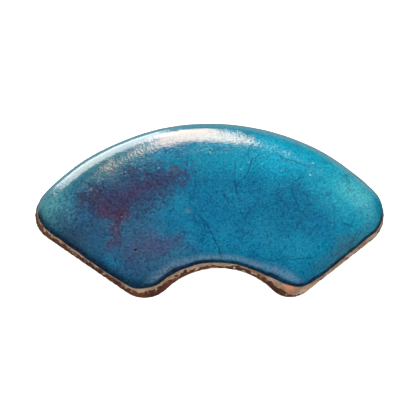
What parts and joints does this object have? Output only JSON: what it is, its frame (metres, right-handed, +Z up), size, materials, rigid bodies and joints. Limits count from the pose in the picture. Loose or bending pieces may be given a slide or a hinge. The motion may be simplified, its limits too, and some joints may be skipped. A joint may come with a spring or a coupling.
{
  "type": "hand-held guitar slide",
  "caption": "Fan-shaped, domed block of glazed ceramic with a finger notch and a flat bare foot, held in the hand and slid along guitar strings.",
  "frame": {"origin": "on the plane of the foot, under the middle of the block's bounding box", "axes": "+Z up, square to the foot; +X along the fan's long side; +Y towards its outer arc, so the finger notch faces -Y"},
  "size_m": [0.0661, 0.0344, 0.0081],
  "materials": {
    "clay": "bare fired red-brown clay, matt",
    "slip": "cream slip fired to tan, matt",
    "glaze": "glossy turquoise crackle glaze with a purple flush over the left half"
  },
  "bodies": {
    "root": {"clay_body": "clay", "slip_coat": "slip", "glaze_coat": "glaze"}
  },
  "joints": []
}
